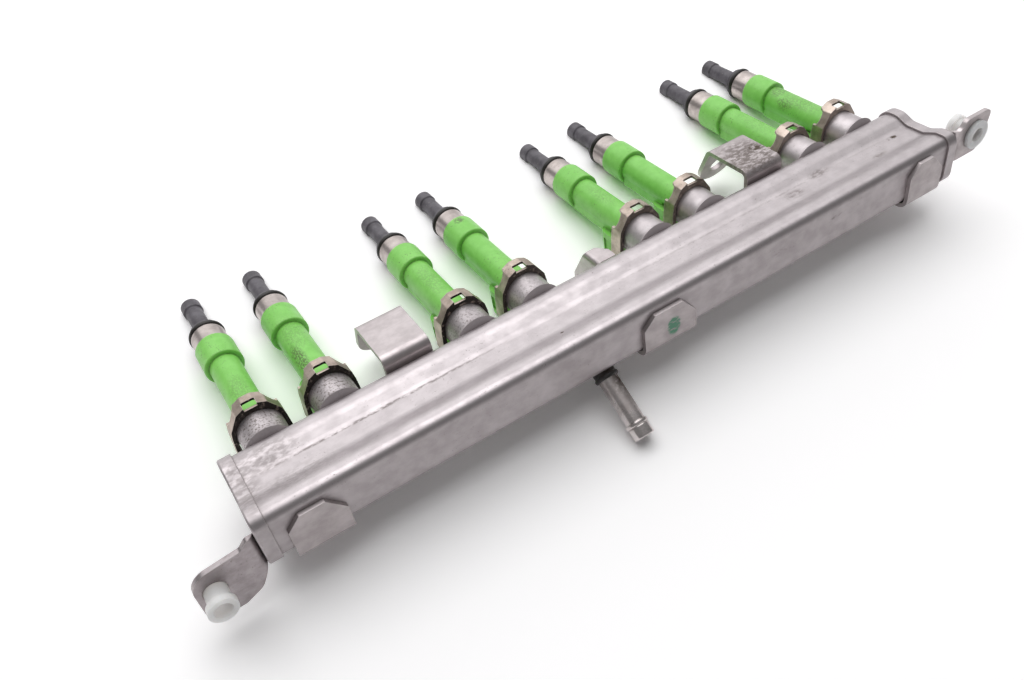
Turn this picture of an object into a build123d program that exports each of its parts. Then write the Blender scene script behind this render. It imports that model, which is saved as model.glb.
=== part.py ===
from build123d import *
from math import atan2, cos, hypot, radians, sin, tan
import os

# Fuel rail of a four-cylinder petrol engine with two injectors for each cylinder.
# Frame in millimetres: +X along the rail, +Y along the injectors towards their tips, +Z up.
# The origin is the middle of the injector row, on the plane where the collars seat in the engine.

# Layout of the injectors
CYLINDERS = 4
CYLINDER_PITCH = 84.0        # distance between neighbouring cylinders
PAIR_SPACING = 27.4          # distance between the two injectors of one cylinder

# Rail tube
RAIL_END_MARGIN = 17.1       # from the last injector to the end of the tube
RAIL_INNER_Y = -64.2         # face that carries the cups
RAIL_DEPTH = 35.1            # along the injectors
RAIL_TOP_Z = 8.4             # crest of the two ridges
RAIL_BOTTOM_Z = -13.2
RAIL_WALL = 1.5
VALLEY_DEPTH = 2.3
INNER_RIDGE_WIDTH = 8.6      # ridge beside the cups
INNER_SLOPE_WIDTH = 5.2      # from that ridge down to the valley
FRONT_RIDGE_WIDTH = 6.6
FRONT_SLOPE_WIDTH = 5.8
RIDGE_ROUND = 6.0            # where ridges and valley meet their slopes
INNER_TOP_ROUND = 5.5
INNER_BOTTOM_ROUND = 4.0
FRONT_TOP_ROUND = 3.5
FRONT_BOTTOM_ROUND = 4.5

# End caps
CAP_SHEET = 0.9
CAP_GAP = 0.05               # brazing gap between a cap and the rail
CAP_RIM_LENGTH = 5.0
CAP_EDGE_ROUND = 0.8

# Injector cups
CUP_RADIUS = 8.6
CUP_WALL = 1.4
CUP_LENGTH = 13.4            # from the rail to the mouth
CUP_LIP_OVERHANG = 0.5       # how far the mouth's lip stands proud
CUP_LIP = 1.5
CUP_BEVEL = 0.8              # lead-in for the seal
CUP_FILLET = 0.9             # brazing fillet against the rail
CUP_SPIGOT_RADIUS = 4.5
CUP_SPIGOT_WALL = 1.0
CUP_SPIGOT_LENGTH = 2.2

# Injectors
COLLAR_RADIUS = 7.78
COLLAR_LENGTH = 13.0
COLLAR_ROUND = 0.7
BODY_RADIUS = 6.04
RIB_DROP = 1.2               # flat keel under the barrel, which carries the connector
RIB_INSET = 2.4              # from the connector's flank to the keel's
RIB_ROUND = 1.2
CORE_RADIUS = 6.9            # steel valve housing in front of the collar
CORE_LENGTH = 8.4
CORE_BEVEL = 0.3
CORE_NECK_LENGTH = 2.9
CORE_SHOULDER = 2.0          # cone inside the collar, from the housing to the inlet tube
INLET_RADIUS = 4.3           # steel inlet tube inside the moulding and the cup
INLET_DEPTH = 4.0            # from the cup's floor side of the rail to the end of the inlet tube
INLET_BEVEL = 0.4
FUEL_BORE_RADIUS = 1.6
METERING_RADIUS = 0.8
NOZZLE_BORE_RADIUS = 2.2
LOWER_RING_RADIUS = 7.33
LOWER_RING_WIRE = 1.3
RING_GAP = 0.03              # ease of a ring in its groove
UPPER_RING_DEPTH = 3.0       # from the end of the inlet tube
FILTER_RADIUS = 2.4
FILTER_LENGTH = 9.0
FILTER_WALL = 0.6

# Nozzle extensions
TIP_END_Y = 33.8
TIP_NECK_RADIUS = 3.5
TIP_END_RADIUS = 4.05
TIP_END_LENGTH = 5.3
TIP_FLANGE_RADIUS = 6.2      # holds the lower ring in its groove
TIP_FLANGE = 1.2
TIP_BORE_RADIUS = 2.4
TIP_BEVEL = 0.6

# Connectors
PLUG_WIDTH = 15.6            # shroud, along the rail
PLUG_DEPTH = 11.0            # shroud, along the injector
PLUG_MID_Y = -40.0
PLUG_BOTTOM_Z = -16.0
PLUG_WALL = 1.3
PLUG_FRONT_ROUND = 4.0
PLUG_BACK_ROUND = 2.2
PLUG_RECESS = 0.7            # slots in both flanks, where the plug's latch bites
PLUG_RECESS_WIDTH = 5.5
PLUG_RECESS_FOOT = 2.0
TERMINAL_SPACING = 5.0
TERMINAL_LENGTH = 4.8
TERMINAL_WIDTH = 1.6
TERMINAL_SHEET = 0.8

# Retaining clips
CLIP_SHEET = 1.0
CLIP_WIDTH = 6.2             # along the injector
CLIP_LIP_GAP = 0.1           # between the clip and the cup's lip
CLIP_HEADROOM = 2.2          # from the cup's lip to the inside of the clip's top
CLIP_TOP_WIDTH = 4.0
CLIP_SHOULDER_WIDTH = 11.6
CLIP_SHOULDER_DROP = 1.9
CLIP_KNEE_Z = 4.4
CLIP_KNEE_INSET = 0.6
CLIP_SPREAD_Z = 1.0          # the legs spread outwards below this height
CLIP_SPREAD = 0.8
CLIP_LEG_DROP = 9.1
CLIP_BEND = 0.6
CLIP_CUP_GAP = 0.25
CLIP_WINDOW_WIDTH = 5.0      # in the top, at the rear edge
CLIP_WINDOW_LENGTH = 3.0
CLIP_TONGUE_DROP = 1.6       # from the clip's top down to the tongue in the window
CLIP_NOTCH_RADIUS = 2.4      # bites in the front edge of both slopes
CLIP_NOTCH_X = 7.6

# Hook brackets
BRACKET_SHEET = 2.0
HOOK_WIDTH = 19.0
HOOK_TOP_Z = 11.6
HOOK_FOOT_Z = -8.0
HOOK_REACH_Y = -39.6
HOOK_BEND = 1.6
HOOK_LEAN = 25.0             # lean of the lug from upright, in degrees
HOOK_LUG_LENGTH = 22.5
HOOK_HOLE_RADIUS = 4.5
HOOK_SHIFT = 1.2             # the right hook sits this much further out

# Plates with a tab up the front of the rail
TAB_SHEET = 1.8
TAB_GAP = 0.05               # brazing gap between a plate and the rail
TAB_BACK = 4.0               # from the rail's inner face to the plate's rear edge
TAB_CHAMFER = 5.0            # upper corner towards -X
TAB_SLOPE_WIDTH = 6.2        # upper corner towards +X
TAB_SLOPE_DROP = 7.5
TAB_BEND = 3.0
LEFT_TAB_INSET = 18.6        # middle of the plate, from the end of the tube
LEFT_TAB_WIDTH = 20.4
LEFT_TAB_TOP_Z = 3.6
LEFT_TAB_BEND = 0.6
RIGHT_TAB_INSET = 17.1
RIGHT_TAB_WIDTH = 18.8
RIGHT_TAB_TOP_Z = 5.6
CENTRE_TAB_X = 4.9
CENTRE_TAB_WIDTH = 24.0
CENTRE_TAB_TOP_Z = 3.9

# Angle lug behind the rail, on the centre plate
LUG_OFFSET = -5.9            # its outer face, from the middle of the plate
LUG_WIDTH = 9.0
LUG_TOP_Z = 5.5
LUG_REACH = 17.8             # behind the rail, along the floor
LUG_NOSE_REACH = 9.2         # the same at the top
LUG_NOSE_Z = -9.0            # where its sloping edge starts
LUG_NOSE_WIDTH = 4.4
LUG_BEND = 0.5

# Ear brackets and their bolts
EAR_FRONT_Y = -99.0          # front face of both ears
EAR_FLANGE_DEPTH = 11.0      # flange on the end cap, behind the ear
EAR_BEND = 1.0
LEFT_HOLE_OUT = 17.85        # from the end cap to the bolt
LEFT_HOLE_Z = -10.4
LEFT_FLANGE_END_Z = -9.0     # top of the left flange at its far end
RIGHT_HOLE_OUT = 12.1
RIGHT_HOLE_Z = 4.0
RIGHT_FLANGE_END_Z = 4.0
EAR_CORNER_ROUND = 2.0
EAR_NECK_ROUND = 3.0

# Left ear's outline, as distances from its hole: out to the tip, in to the cap, up and down
LEFT_EAR_TIP_OUT = 6.2
LEFT_EAR_CROWN_OUT = 6.0
LEFT_EAR_CROWN_UP = 8.8
LEFT_EAR_CROWN_ROUND = 7.0
LEFT_EAR_STEP_IN = 12.2      # the upper edge rises from here to the root
LEFT_EAR_STEP_UP = 10.6
LEFT_EAR_ROOT_IN = 15.0
LEFT_EAR_ROOT_UP = 13.4
LEFT_EAR_NECK_IN = 18.4      # the lower edge leaves the cap here
LEFT_EAR_NECK_DOWN = 1.0
LEFT_EAR_HEEL_IN = 13.0
LEFT_EAR_HEEL_DOWN = 9.8
LEFT_EAR_HEEL_ROUND = 6.0
LEFT_EAR_FOOT_IN = 6.0
LEFT_EAR_FOOT_DOWN = 13.0
LEFT_EAR_TIP_ROUND = 4.0

# Right ear's outline, in the same way
RIGHT_EAR_TIP_OUT = 8.6
RIGHT_EAR_TIP_UP = 8.8
RIGHT_EAR_TIP_ROUND = 2.5
RIGHT_EAR_WAIST_OUT = 6.6
RIGHT_EAR_WAIST_DOWN = 2.0
RIGHT_EAR_FOOT_OUT = 3.2
RIGHT_EAR_FOOT_DOWN = 8.9
RIGHT_EAR_FOOT_ROUND = 4.0
RIGHT_EAR_SLOPE_IN = 9.2     # the upper edge rises from here to the crown
RIGHT_EAR_SLOPE_UP = 5.0
RIGHT_EAR_CROWN_IN = 6.2

# Bolt bushes
BUSH_WIDE_RADIUS = 6.2       # flange against the ear
BUSH_WIDE_FLANGE = 1.6
BUSH_END_RADIUS = 5.0        # flange at the free end
BUSH_END_FLANGE = 2.6
BUSH_RADIUS = 3.9            # sleeve through the ear
BUSH_BORE_RADIUS = 3.1
BUSH_LENGTH = 12.0
BUSH_EAR_GAP = 0.15

# Fuel inlet
PIPE_X = -22.5
PIPE_RADIUS = 3.9
PIPE_WALL = 1.0
PIPE_NOSE_RADIUS = 4.2       # end part that enters the hose
PIPE_NOSE_LENGTH = 4.8
PIPE_NOSE_ROUND = 0.5
PIPE_BEAD_RADIUS = 4.6
PIPE_BEAD = 1.6
PIPE_SLOPE = 32.4            # degrees below the rail's front, in the plane across the rail
PIPE_LENGTH = 25.2           # from the socket to the open end
PIPE_INSERT = 13.0           # from the socket's mouth into the rail
PIPE_ROOT_Y = -97.4
PIPE_ROOT_Z = -18.0
PIPE_GAP = 0.05
SOCKET_RADIUS = 4.4
SOCKET_LENGTH = 14.0
SOCKET_LIP_RADIUS = 4.9      # rolled lip at the mouth
SOCKET_LIP = 1.9
SOCKET_LIP_ROUND = 0.8

RAIL_FRONT_Y = RAIL_INNER_Y - RAIL_DEPTH
RAIL_HALF_LENGTH = (CYLINDERS - 1) / 2 * CYLINDER_PITCH + PAIR_SPACING / 2 + RAIL_END_MARGIN
CAP_FACE_X = RAIL_HALF_LENGTH + CAP_GAP + CAP_SHEET
CUP_MOUTH_Y = RAIL_INNER_Y + CUP_LENGTH
CUP_LIP_RADIUS = CUP_RADIUS + CUP_LIP_OVERHANG
CUP_BORE_RADIUS = CUP_RADIUS - CUP_WALL
INLET_END_Y = RAIL_INNER_Y + INLET_DEPTH
CORE_NECK_END_Y = CORE_LENGTH + CORE_NECK_LENGTH
CAVITY_ROOF_Z = -BODY_RADIUS - RIB_DROP
LEFT_HOLE_X = -CAP_FACE_X - LEFT_HOLE_OUT
RIGHT_HOLE_X = CAP_FACE_X + RIGHT_HOLE_OUT
INJECTOR_X = [
    (cylinder - (CYLINDERS - 1) / 2) * CYLINDER_PITCH + side * PAIR_SPACING / 2
    for cylinder in range(CYLINDERS)
    for side in (-1, 1)
]
OVERSHOOT = 1.0              # how far a cutting body reaches past the piece it cuts


def rounded_face(corners):
    """Closed flat face from corners (u, v, radius), each rounded by its own radius."""
    edges = []
    starts = []
    ends = []
    count = len(corners)
    for index in range(count):
        u, v, radius = corners[index]
        pu, pv, _ = corners[index - 1]
        nu, nv, _ = corners[(index + 1) % count]
        before = hypot(pu - u, pv - v)
        after = hypot(nu - u, nv - v)
        turn = atan2(nv - v, nu - u) - atan2(pv - v, pu - u)
        half = abs((turn + radians(180)) % radians(360) - radians(180)) / 2
        if radius == 0 or half > radians(89.5):
            starts.append((u, v))
            ends.append((u, v))
            continue
        back = radius / tan(half)
        start = (u + (pu - u) / before * back, v + (pv - v) / before * back)
        end = (u + (nu - u) / after * back, v + (nv - v) / after * back)
        reach = radius / sin(half) - radius
        mid = ((start[0] + end[0]) / 2 - u, (start[1] + end[1]) / 2 - v)
        size = hypot(*mid)
        middle = (u + mid[0] / size * reach, v + mid[1] / size * reach)
        edges.append(ThreePointArc(start, middle, end))
        starts.append(start)
        ends.append(end)
    for index in range(count):
        start = ends[index - 1]
        end = starts[index]
        if hypot(end[0] - start[0], end[1] - start[1]) > 1e-6:
            edges.append(Line(start, end))
    return make_face(edges)


def sharp_face(points):
    """Closed flat face with sharp corners."""
    return make_face(Polyline(*points, close=True))


def strip_face(points, sheet, bend):
    """Section of a bent sheet with inner radius bend: points run along its left side.

    A positive sheet lies to the right of that path, a negative one to its left.
    """
    left = []
    right = []
    last = len(points) - 1
    for index, (u, v) in enumerate(points):
        before = points[max(index - 1, 0)]
        after = points[min(index + 1, last)]
        if index == 0:
            before = (2 * u - after[0], 2 * v - after[1])
        if index == last:
            after = (2 * u - before[0], 2 * v - before[1])
        a = atan2(v - before[1], u - before[0])
        b = atan2(after[1] - v, after[0] - u)
        turn = (b - a + radians(180)) % radians(360) - radians(180)
        side = (a + turn / 2) - radians(90)
        reach = sheet / cos(turn / 2)
        inner = 0 if index in (0, last) else bend
        outer = 0 if index in (0, last) else bend + abs(sheet)
        inside_left = turn * sheet > 0
        left.append((u, v, inner if inside_left else outer))
        right.append((u + reach * cos(side), v + reach * sin(side), outer if inside_left else inner))
    return rounded_face(left + right[::-1])


def across_rail(face, x, width):
    """Extrude a (Y, Z) section by width along X, centred on x."""
    return extrude(Plane.YZ.offset(x - width / 2) * face, width)


def across_injector(face, y_front, depth):
    """Extrude an (X, Z) section from y_front towards -Y by depth."""
    return extrude(Plane.XZ.offset(-y_front) * face, depth)


def turned(profile):
    """Solid of revolution about the Y axis from (radius, y) points."""
    return revolve(sharp_face(profile), Axis.Y)


def cylinder_y(radius, y_low, y_high, x=0.0, z=0.0):
    """Cylinder along Y."""
    return Pos(x, (y_low + y_high) / 2, z) * Rot(90, 0, 0) * Cylinder(radius, y_high - y_low)


def box(x_low, x_high, y_low, y_high, z_low, z_high):
    """Box from its limits."""
    middle = ((x_low + x_high) / 2, (y_low + y_high) / 2, (z_low + z_high) / 2)
    return Pos(*middle) * Box(x_high - x_low, y_high - y_low, z_high - z_low)


def rail_section(grow):
    """Outer section of the rail in (Y, Z), grown evenly: two ridges with a valley between."""
    inner = RAIL_INNER_Y + grow
    front = RAIL_FRONT_Y - grow
    top = RAIL_TOP_Z + grow
    floor = top - VALLEY_DEPTH
    bottom = RAIL_BOTTOM_Z - grow
    inner_ridge = RAIL_INNER_Y - INNER_RIDGE_WIDTH
    front_ridge = RAIL_FRONT_Y + FRONT_RIDGE_WIDTH
    return rounded_face([
        (inner, top, INNER_TOP_ROUND + grow),
        (inner_ridge, top, RIDGE_ROUND),
        (inner_ridge - INNER_SLOPE_WIDTH, floor, RIDGE_ROUND),
        (front_ridge + FRONT_SLOPE_WIDTH, floor, RIDGE_ROUND),
        (front_ridge, top, RIDGE_ROUND),
        (front, top, FRONT_TOP_ROUND + grow),
        (front, bottom, FRONT_BOTTOM_ROUND + grow),
        (inner, bottom, INNER_BOTTOM_ROUND + grow),
    ])


def make_rail_tube():
    """Open stamped tube with a hole for each cup and one for the inlet pipe."""
    outer = across_rail(rail_section(0), 0, 2 * RAIL_HALF_LENGTH)
    inner = across_rail(rail_section(-RAIL_WALL), 0, 2 * (RAIL_HALF_LENGTH + OVERSHOOT))
    tube = outer - inner
    for x in INJECTOR_X:
        tube -= cylinder_y(CUP_SPIGOT_RADIUS, RAIL_INNER_Y - 2 * RAIL_WALL, RAIL_INNER_Y + OVERSHOOT, x)
    return tube - pipe_cylinder(PIPE_RADIUS + PIPE_GAP, -SOCKET_LENGTH, 0)


def make_end_cap():
    """Cap for the +X end: a drawn lid whose rim slips over the rail."""
    inner_x = RAIL_HALF_LENGTH + CAP_GAP
    rim_x = CAP_FACE_X - CAP_RIM_LENGTH
    lid = across_rail(rail_section(CAP_GAP + CAP_SHEET), (rim_x + CAP_FACE_X) / 2, CAP_RIM_LENGTH)
    lid = fillet(lid.faces().sort_by(Axis.X)[-1].edges(), CAP_EDGE_ROUND)
    hollow_x = rim_x - OVERSHOOT
    return lid - across_rail(rail_section(CAP_GAP), (hollow_x + inner_x) / 2, inner_x - hollow_x)


def make_cup():
    """Drawn cup at x = 0, brazed to the rail, with its mouth lip towards +Y."""
    base = RAIL_INNER_Y
    spigot_bore = CUP_SPIGOT_RADIUS - CUP_SPIGOT_WALL
    return turned([
        (spigot_bore, base - CUP_SPIGOT_LENGTH),
        (CUP_SPIGOT_RADIUS, base - CUP_SPIGOT_LENGTH),
        (CUP_SPIGOT_RADIUS, base),
        (CUP_RADIUS + CUP_FILLET, base),
        (CUP_RADIUS, base + CUP_FILLET),
        (CUP_RADIUS, CUP_MOUTH_Y - CUP_LIP),
        (CUP_LIP_RADIUS, CUP_MOUTH_Y - CUP_LIP),
        (CUP_LIP_RADIUS, CUP_MOUTH_Y),
        (CUP_BORE_RADIUS + CUP_BEVEL, CUP_MOUTH_Y),
        (CUP_BORE_RADIUS, CUP_MOUTH_Y - CUP_WALL),
        (CUP_BORE_RADIUS, base + CUP_WALL),
        (spigot_bore, base + CUP_WALL),
    ])


def make_core():
    """Steel valve housing and inlet tube of one injector, welded into one piece."""
    neck_radius = LOWER_RING_RADIUS - 2 * LOWER_RING_WIRE - RING_GAP
    filter_bore = FILTER_RADIUS + RING_GAP
    filter_floor = INLET_END_Y + FILTER_LENGTH + INLET_BEVEL
    seat = CORE_LENGTH - CORE_NECK_LENGTH
    return turned([
        (filter_bore, INLET_END_Y),
        (INLET_RADIUS - INLET_BEVEL, INLET_END_Y),
        (INLET_RADIUS, INLET_END_Y + INLET_BEVEL),
        (INLET_RADIUS, CORE_SHOULDER / 2 - COLLAR_LENGTH),
        (CORE_RADIUS, CORE_SHOULDER * 3 / 2 - COLLAR_LENGTH),
        (CORE_RADIUS, CORE_LENGTH - CORE_BEVEL),
        (CORE_RADIUS - CORE_BEVEL, CORE_LENGTH),
        (neck_radius, CORE_LENGTH),
        (neck_radius, CORE_NECK_END_Y),
        (NOZZLE_BORE_RADIUS, CORE_NECK_END_Y),
        (NOZZLE_BORE_RADIUS, seat),
        (METERING_RADIUS, seat - METERING_RADIUS),
        (METERING_RADIUS, seat - CORE_NECK_LENGTH),
        (FUEL_BORE_RADIUS, seat - CORE_NECK_LENGTH - FUEL_BORE_RADIUS),
        (FUEL_BORE_RADIUS, filter_floor),
        (filter_bore, filter_floor),
    ])


def make_filter():
    """Fine filter basket pressed into the inlet tube."""
    top = INLET_END_Y
    rim_radius = INLET_RADIUS - INLET_BEVEL
    foot = top + FILTER_LENGTH
    return turned([
        (FILTER_RADIUS - FILTER_WALL, top - FILTER_WALL),
        (rim_radius, top - FILTER_WALL),
        (rim_radius, top),
        (FILTER_RADIUS, top),
        (FILTER_RADIUS, top + 2 * FILTER_WALL),
        (FILTER_RADIUS - FILTER_WALL, foot),
        (0, foot),
        (0, foot - FILTER_WALL),
        (FILTER_RADIUS - 2 * FILTER_WALL, foot - FILTER_WALL),
    ])


def make_barrel():
    """Round barrel with a flat keel under it, between the collar and the cup."""
    rear = CUP_MOUTH_Y + RING_GAP
    barrel = cylinder_y(BODY_RADIUS, rear, -COLLAR_LENGTH)
    half = PLUG_WIDTH / 2 - RIB_INSET
    keel = rounded_face([
        (-half, CAVITY_ROOF_Z, RIB_ROUND),
        (half, CAVITY_ROOF_Z, RIB_ROUND),
        (half, 0, 0),
        (-half, 0, 0),
    ])
    return barrel + across_injector(keel, -COLLAR_LENGTH, -COLLAR_LENGTH - PLUG_MID_Y)


def make_connector():
    """Shroud of the two-pin connector below the barrel, still without its cavity."""
    back = PLUG_MID_Y - PLUG_DEPTH / 2
    front = PLUG_MID_Y + PLUG_DEPTH / 2
    half = PLUG_WIDTH / 2
    shroud = rounded_face([
        (-half, back, PLUG_BACK_ROUND),
        (half, back, PLUG_BACK_ROUND),
        (half, front, PLUG_FRONT_ROUND),
        (-half, front, PLUG_FRONT_ROUND),
    ])
    plug = extrude(Plane.XY.offset(PLUG_BOTTOM_Z) * shroud, BODY_RADIUS / 2 + CAVITY_ROOF_Z - PLUG_BOTTOM_Z)
    recess_back = back + PLUG_BACK_ROUND
    for side in (-1, 1):
        plug -= box(
            side * half - PLUG_RECESS, side * half + PLUG_RECESS,
            recess_back, recess_back + PLUG_RECESS_WIDTH,
            PLUG_BOTTOM_Z + PLUG_RECESS_FOOT, CAVITY_ROOF_Z,
        )
    return plug


def make_body():
    """Green moulding of one injector: collar, long barrel and the two-pin connector below it."""
    collar = cylinder_y(COLLAR_RADIUS, -COLLAR_LENGTH, 0)
    collar = fillet(collar.edges().filter_by(GeomType.CIRCLE), COLLAR_ROUND)
    body = collar + make_barrel() + make_connector()
    half_width = PLUG_WIDTH / 2 - PLUG_WALL
    half_depth = PLUG_DEPTH / 2 - PLUG_WALL
    body -= box(
        -half_width, half_width, PLUG_MID_Y - half_depth, PLUG_MID_Y + half_depth,
        PLUG_BOTTOM_Z - OVERSHOOT, CAVITY_ROOF_Z,
    )
    return body - turned([
        (0, CUP_MOUTH_Y - OVERSHOOT),
        (INLET_RADIUS, CUP_MOUTH_Y - OVERSHOOT),
        (INLET_RADIUS, CORE_SHOULDER / 2 - COLLAR_LENGTH),
        (CORE_RADIUS, CORE_SHOULDER * 3 / 2 - COLLAR_LENGTH),
        (CORE_RADIUS, OVERSHOOT),
        (0, OVERSHOOT),
    ])


def make_tip():
    """Dark nozzle extension that carries the spray into the port, with a flared end."""
    root = CORE_NECK_END_Y
    flare = TIP_END_Y - TIP_END_LENGTH
    step = TIP_END_RADIUS - TIP_NECK_RADIUS
    return turned([
        (TIP_BORE_RADIUS, root),
        (TIP_FLANGE_RADIUS, root),
        (TIP_FLANGE_RADIUS, root + TIP_FLANGE),
        (TIP_NECK_RADIUS, root + 2 * TIP_FLANGE),
        (TIP_NECK_RADIUS, flare - step),
        (TIP_END_RADIUS, flare),
        (TIP_END_RADIUS, TIP_END_Y - TIP_BEVEL),
        (TIP_END_RADIUS - TIP_BEVEL, TIP_END_Y),
        (TIP_BORE_RADIUS, TIP_END_Y),
    ])


def make_ring(outer_radius, wire_radius, y):
    """O-ring about the injector axis at height y."""
    return Pos(0, y, 0) * Rot(90, 0, 0) * Torus(outer_radius - wire_radius, wire_radius)


def make_clip():
    """Spring-steel horseshoe clip at x = 0 that locks an injector to its cup.

    A folded band goes round the cup's mouth and a flat rim behind the lip keeps it there.
    """
    rear = CUP_MOUTH_Y - CUP_LIP - CLIP_LIP_GAP - CLIP_SHEET
    front = rear + CLIP_WIDTH
    side = CUP_LIP_RADIUS + CLIP_LIP_GAP + CLIP_SHEET
    top = CUP_LIP_RADIUS + CLIP_HEADROOM + CLIP_SHEET
    outline = [
        (side + CLIP_SPREAD, -CLIP_LEG_DROP),
        (side, CLIP_SPREAD_Z),
        (side - CLIP_KNEE_INSET, CLIP_KNEE_Z),
        (CLIP_SHOULDER_WIDTH / 2, top - CLIP_SHOULDER_DROP),
        (CLIP_TOP_WIDTH / 2, top),
    ]
    outline += [(-x, z) for x, z in outline[::-1]]
    band = across_injector(strip_face(outline, -CLIP_SHEET, CLIP_BEND), front, CLIP_WIDTH)
    opening = CUP_RADIUS + CLIP_CUP_GAP
    rim = across_injector(sharp_face(outline), rear + CLIP_SHEET, CLIP_SHEET)
    rim -= cylinder_y(opening, rear - OVERSHOOT, rear + CLIP_SHEET + OVERSHOOT)
    rim -= box(-opening, opening, rear - OVERSHOOT, rear + CLIP_SHEET + OVERSHOOT, -2 * CLIP_LEG_DROP, 0)
    clip = band + rim
    clip -= box(
        -CLIP_WINDOW_WIDTH / 2, CLIP_WINDOW_WIDTH / 2,
        rear - OVERSHOOT, rear + CLIP_WINDOW_LENGTH,
        top - CLIP_TONGUE_DROP, top + OVERSHOOT,
    )
    for x in (-CLIP_NOTCH_X, CLIP_NOTCH_X):
        notch = Cylinder(CLIP_NOTCH_RADIUS, top - CLIP_KNEE_Z)
        clip -= Pos(x, front, (CLIP_KNEE_Z + top) / 2) * notch
    return clip


def make_hook_bracket():
    """Hook bracket at x = 0: leg on the rail, flat web over the gap, leaning lug with a hole."""
    lean = radians(HOOK_LEAN)
    rounding = HOOK_WIDTH / 2
    section = strip_face([
        (RAIL_INNER_Y, HOOK_FOOT_Z),
        (RAIL_INNER_Y, HOOK_TOP_Z),
        (HOOK_REACH_Y, HOOK_TOP_Z),
        (HOOK_REACH_Y + HOOK_LUG_LENGTH * sin(lean), HOOK_TOP_Z - HOOK_LUG_LENGTH * cos(lean)),
    ], BRACKET_SHEET, HOOK_BEND)
    bracket = across_rail(section, 0, HOOK_WIDTH)
    centre = HOOK_LUG_LENGTH - rounding
    lug_plane = Plane(
        origin=(0, HOOK_REACH_Y + centre * sin(lean), HOOK_TOP_Z - centre * cos(lean)),
        x_dir=(1, 0, 0),
        z_dir=(0, cos(lean), sin(lean)),
    )
    corners = Pos(0, rounding) * Rectangle(HOOK_WIDTH + 2 * OVERSHOOT, HOOK_WIDTH) - Circle(rounding)
    bracket -= extrude(lug_plane * corners, 2 * BRACKET_SHEET, both=True)
    return bracket - lug_plane.location * Cylinder(HOOK_HOLE_RADIUS, 4 * BRACKET_SHEET)


def pipe_cylinder(radius, start, end):
    """Cylinder on the inlet axis between two distances from the socket's mouth."""
    slope = radians(PIPE_SLOPE)
    direction = (0, -cos(slope), -sin(slope))
    origin = (PIPE_X, PIPE_ROOT_Y + start * direction[1], PIPE_ROOT_Z + start * direction[2])
    plane = Plane(origin=origin, x_dir=(1, 0, 0), z_dir=direction)
    return extrude(plane * Circle(radius), end - start)


def make_inlet_pipe():
    """Steel pipe with a thicker nose and a bead that keeps the hose on."""
    nose = PIPE_LENGTH - PIPE_NOSE_LENGTH
    end = pipe_cylinder(PIPE_NOSE_RADIUS, nose, PIPE_LENGTH)
    end = fillet(end.edges().filter_by(GeomType.CIRCLE), PIPE_NOSE_ROUND)
    bead = pipe_cylinder(PIPE_BEAD_RADIUS, nose - PIPE_BEAD, nose)
    bead = fillet(bead.edges().filter_by(GeomType.CIRCLE), PIPE_NOSE_ROUND)
    pipe = pipe_cylinder(PIPE_RADIUS, -PIPE_INSERT, PIPE_LENGTH - PIPE_NOSE_ROUND) + bead + end
    return pipe - pipe_cylinder(PIPE_RADIUS - PIPE_WALL, -PIPE_INSERT - OVERSHOOT, PIPE_LENGTH + OVERSHOOT)


def make_pipe_socket():
    """Short socket with a rolled lip under the rail's front corner, round the inlet pipe."""
    lip = pipe_cylinder(SOCKET_LIP_RADIUS, -SOCKET_LIP, 0)
    lip = fillet(lip.edges().filter_by(GeomType.CIRCLE), SOCKET_LIP_ROUND)
    socket = pipe_cylinder(SOCKET_RADIUS, -SOCKET_LENGTH, -SOCKET_LIP / 2) + lip
    socket -= pipe_cylinder(PIPE_RADIUS + PIPE_GAP, -SOCKET_LENGTH - OVERSHOOT, OVERSHOOT)
    reach = 2 * SOCKET_LENGTH
    below_rail = box(
        PIPE_X - reach, PIPE_X + reach, RAIL_FRONT_Y - reach, RAIL_INNER_Y,
        RAIL_BOTTOM_Z - reach, RAIL_BOTTOM_Z,
    )
    return socket & below_rail


def make_tab_plate(x_middle, width, top_z, bend):
    """Plate under the rail, bent up its front face, with two upper corners cut off."""
    under = RAIL_BOTTOM_Z - TAB_GAP - TAB_SHEET
    front = RAIL_FRONT_Y - TAB_GAP - TAB_SHEET
    back = RAIL_INNER_Y - TAB_BACK
    section = strip_face([(back, under), (front, under), (front, top_z)], TAB_SHEET, bend)
    plate = across_rail(section, x_middle, width)
    left = x_middle - width / 2
    right = x_middle + width / 2
    tab = sharp_face([
        (left, under),
        (right, under),
        (right, top_z - TAB_SLOPE_DROP),
        (right - TAB_SLOPE_WIDTH, top_z),
        (left + TAB_CHAMFER, top_z),
        (left, top_z - TAB_CHAMFER),
    ])
    return plate & across_injector(tab, back, back - front)


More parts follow.
